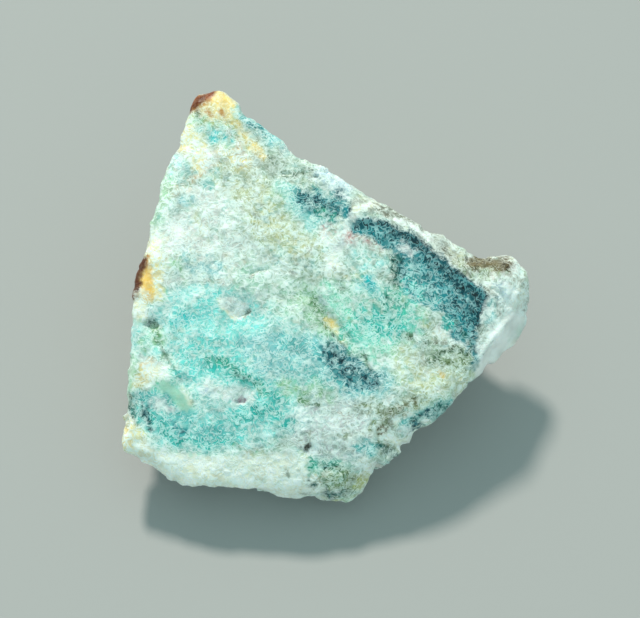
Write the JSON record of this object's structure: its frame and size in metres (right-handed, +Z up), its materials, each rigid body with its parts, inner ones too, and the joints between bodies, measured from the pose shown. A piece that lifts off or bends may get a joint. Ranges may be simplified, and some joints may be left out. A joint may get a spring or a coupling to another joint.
{
  "type": "rough quartz chunk",
  "caption": "Rough broken chunk of milky quartz stained blue-green, with one broad granular face, resting on a flat foot.",
  "frame": {"origin": "on the surface the chunk rests on, below the middle of its bounding box", "axes": "+Z up, the shortest way through the chunk; +X to the right along the broad face; the broad face leans back, so that it looks up and towards -Y"},
  "size_m": [0.06, 0.0568, 0.0315],
  "materials": {
    "stained_quartz": "sugary granular break, milky and slightly translucent, with blue-green, teal, cream and rust stains"
  },
  "bodies": {
    "root": {"quartz_crystal": "stained_quartz"}
  },
  "joints": []
}
